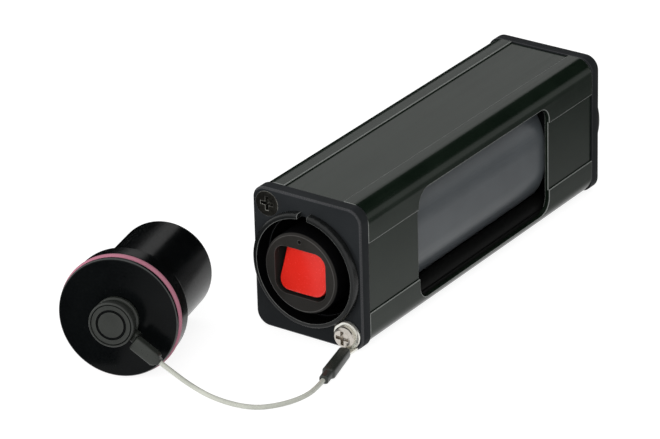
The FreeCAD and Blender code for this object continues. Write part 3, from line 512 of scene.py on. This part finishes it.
rivet_outline = [(0.0, 4.14), (2.62, 4.14), (2.74, 3.82), (3.04, 3.82), (3.16, 4.14), (4.0, 4.14),
                 (4.06, 3.94), (4.2, 3.94), (4.26, 4.2), (4.45, 4.2), (4.65, 4.0), (4.65, 2.8), (2.4, 2.8),
                 (2.4, -4.0), (0.0, -4.0)]
# The rivet's grooves take the cap's gloss black: painted shade in them.
rivet_work = second_finish(turned(eased_corners(rivet_outline, ease=0.1), cap_place),
                           (GROOVES_FROM, GROOVES_TO), (GROOVES_LOW, GROOVES_HIGH))
link("rivet", mesh_of(rivet_work, "rivet"), [rivet_grey, gloss_black], "cap", ["cap_button"])


# Floor, light and camera
# A white sheet under a white tent, with a tall soft lamp at the front left and a square one at the front.
# Outside the picture black curtains, a gauze and black cards on the floor shade reflections.
FLOOR_HALF = 3.0
FLOOR_BOUNCE, FLOOR_SHADE, FLOOR_GLOW = 0.8, 0.3, 0.86
TENT_LIGHT = 0.72


def sheet(name, corners, finish):
    """A flat piece of the stage."""
    mesh = bpy.data.meshes.new(name)
    mesh.from_pydata(corners, [], [range(len(corners))])
    mesh.materials.append(finish)
    piece = bpy.data.objects.new(name, mesh)
    bpy.context.collection.objects.link(piece)
    return piece


def seen_or_shining(nodes, links):
    """One for camera, glossy and transmission rays, none for the light that falls on the object."""
    path = nodes.new("ShaderNodeLightPath")
    either = nodes.new("ShaderNodeMath")
    either.operation = "MAXIMUM"
    any_of = nodes.new("ShaderNodeMath")
    any_of.operation = "MAXIMUM"
    links.new(path.outputs["Is Camera Ray"], either.inputs[0])
    links.new(path.outputs["Is Glossy Ray"], either.inputs[1])
    links.new(either.outputs["Value"], any_of.inputs[0])
    links.new(path.outputs["Is Transmission Ray"], any_of.inputs[1])
    return any_of.outputs["Value"]


white_sheet, sheet_nodes, sheet_links = new_finish("white_sheet")
sheet_nodes.remove(sheet_nodes["Principled BSDF"])
bounce = sheet_nodes.new("ShaderNodeBsdfDiffuse")
bounce.inputs["Color"].default_value = (FLOOR_BOUNCE, FLOOR_BOUNCE, FLOOR_BOUNCE, 1.0)
faint = sheet_nodes.new("ShaderNodeBsdfDiffuse")
faint.inputs["Color"].default_value = (FLOOR_SHADE, FLOOR_SHADE, FLOOR_SHADE, 1.0)
glow = sheet_nodes.new("ShaderNodeEmission")
glow.inputs["Strength"].default_value = FLOOR_GLOW
white = sheet_nodes.new("ShaderNodeAddShader")
choice = sheet_nodes.new("ShaderNodeMixShader")
sheet_links.new(faint.outputs["BSDF"], white.inputs[0])
sheet_links.new(glow.outputs["Emission"], white.inputs[1])
sheet_links.new(seen_or_shining(sheet_nodes, sheet_links), choice.inputs["Fac"])
sheet_links.new(bounce.outputs["BSDF"], choice.inputs[1])
sheet_links.new(white.outputs["Shader"], choice.inputs[2])
sheet_links.new(choice.outputs["Shader"], sheet_nodes["Material Output"].inputs["Surface"])
sheet("floor", [(x * FLOOR_HALF, y * FLOOR_HALF, 0) for x, y in ((-1, -1), (1, -1), (1, 1), (-1, 1))],
      white_sheet)

tent = bpy.data.worlds.new("tent")
bpy.context.scene.world = tent
tent.use_nodes = True
tent_nodes, tent_links = tent.node_tree.nodes, tent.node_tree.links
level = ranged(tent_nodes, 0.0, 1.0, TENT_LIGHT, 1.0)
tent_links.new(seen_or_shining(tent_nodes, tent_links), level.inputs["Value"])
tent_nodes["Background"].inputs["Color"].default_value = (1.0, 1.0, 1.0, 1.0)
tent_links.new(level.outputs["Result"], tent_nodes["Background"].inputs["Strength"])

LAMP_AIM = Vector((0, -0.045, 0.015))
LAMPS = {
    "strip_lamp": ((-0.336, -0.5, 0.1), (0.09, 0.24), 1.8),
    "front_lamp": ((0.25, -0.6, 0.3), (0.25, 0.25), 1.4),
}
for name, (place, size, watts) in LAMPS.items():
    lamp_data = bpy.data.lights.new(name, "AREA")
    lamp_data.shape = "RECTANGLE"
    lamp_data.size, lamp_data.size_y = size
    lamp_data.energy = watts
    lamp = bpy.data.objects.new(name, lamp_data)
    lamp.location = place
    lamp.rotation_euler = (LAMP_AIM - Vector(place)).to_track_quat("-Z", "Y").to_euler()
    lamp.visible_glossy = False
    bpy.context.collection.objects.link(lamp)

black_cloth = grained("black_cloth", (0.002, 0.002, 0.002), (0.004, 0.004, 0.004), (0.9, 1.0), 1.0, shine=0.0)
GAUZE_RISE = (13.1, 9.74, 0.0)
GAUZE_SPAN = (-0.05, 1.4)
GAUZE_DENSITY = (0.0, 0.86)
GAUZE_COLOUR = (0.003, 0.003, 0.003, 1.0)
gauze, gauze_nodes, gauze_links = new_finish("gauze")
threads = gauze_nodes["Principled BSDF"]
threads.inputs["Base Color"].default_value = GAUZE_COLOUR
gauze_place = gauze_nodes.new("ShaderNodeTexCoord")
away = gauze_nodes.new("ShaderNodeVectorMath")
away.operation = "DOT_PRODUCT"
away.inputs[1].default_value = GAUZE_RISE
density = ranged(gauze_nodes, *GAUZE_SPAN, *GAUZE_DENSITY)
weave = gauze_nodes.new("ShaderNodeMixShader")
clear = gauze_nodes.new("ShaderNodeBsdfTransparent")
gauze_links.new(gauze_place.outputs["Object"], away.inputs[0])
gauze_links.new(away.outputs["Value"], density.inputs["Value"])
gauze_links.new(density.outputs["Result"], weave.inputs["Fac"])
gauze_links.new(clear.outputs["BSDF"], weave.inputs[1])
gauze_links.new(threads.outputs["BSDF"], weave.inputs[2])
gauze_links.new(weave.outputs["Shader"], gauze_nodes["Material Output"].inputs["Surface"])

CARD_LIFT = 0.0005
CURTAIN_TOP = 0.85
FAR_LEFT_POLE, LEFT_POLE, MIDDLE_POLE, RIGHT_POLE = (-0.75, 0.2), (-0.28, 0.7), (0.22, 0.41), (0.75, 0.1)


def hung(left, right, bottom, top):
    """The corners of a curtain between two poles."""
    return [(*left, bottom), (*right, bottom), (*right, top), (*left, top)]


def laid(*corners):
    """The corners of a card that lies on the floor."""
    return [(*corner, CARD_LIFT) for corner in corners]


CARDS = {
    "rear_curtain": (black_cloth, hung(LEFT_POLE, MIDDLE_POLE, 0.0, CURTAIN_TOP)),
    "right_curtain": (black_cloth, hung(MIDDLE_POLE, RIGHT_POLE, 0.19, CURTAIN_TOP)),
    "left_curtain": (black_cloth, hung(FAR_LEFT_POLE, LEFT_POLE, 0.0, 0.24)),
    "left_card": (black_cloth, laid((-0.036, -0.05), (-0.036, 0.05), (-0.06, 0.3), (-0.5, 0.5), (-0.5, -0.1),
                                    (-0.16, -0.07))),
    "right_gauze": (gauze, laid((0.014, -0.06), (1.5, -0.2), (1.0, 1.5), (0.0, 0.08), (0.014, 0.05))),
    "front_card": (black_cloth, laid((-0.5, -0.7), (0.05, -0.7), (-0.021, -0.13), (-0.022, -0.088),
                                     (-0.3, -0.088))),
}
for name, (cloth, corners) in CARDS.items():
    card = sheet(name, corners, cloth)
    card.visible_camera = card.visible_diffuse = card.visible_shadow = False

CAMERA_AZIMUTH, CAMERA_RISE, CAMERA_ROLL = (math.radians(a) for a in (35.3013, 25.7656, -1.5715))
CAMERA_DISTANCE = 832.412
SIGHT_LEFT, SIGHT_BELOW = 21.288, 6.286
camera_data = bpy.data.cameras.new("camera")
camera_data.sensor_width = 36.0
camera_data.lens = 219.62
camera_data.clip_end = 20.0
camera = bpy.data.objects.new("camera", camera_data)
back = Vector((math.sin(CAMERA_AZIMUTH) * math.cos(CAMERA_RISE),
               -math.cos(CAMERA_AZIMUTH) * math.cos(CAMERA_RISE), math.sin(CAMERA_RISE)))
right = Vector((math.cos(CAMERA_AZIMUTH), math.sin(CAMERA_AZIMUTH), 0.0))
up = back.cross(right)
target = Vector((0.0, 0.0, AXIS_HEIGHT)) - SIGHT_LEFT * right - SIGHT_BELOW * up
level_frame = Matrix((right, up, back)).transposed().to_4x4()
camera.matrix_world = (Matrix.Translation((target + back * CAMERA_DISTANCE) * MM) @ level_frame
                       @ Matrix.Rotation(CAMERA_ROLL, 4, "Z"))
bpy.context.collection.objects.link(camera)
bpy.context.scene.camera = camera
bpy.context.scene.view_settings.view_transform = "Standard"
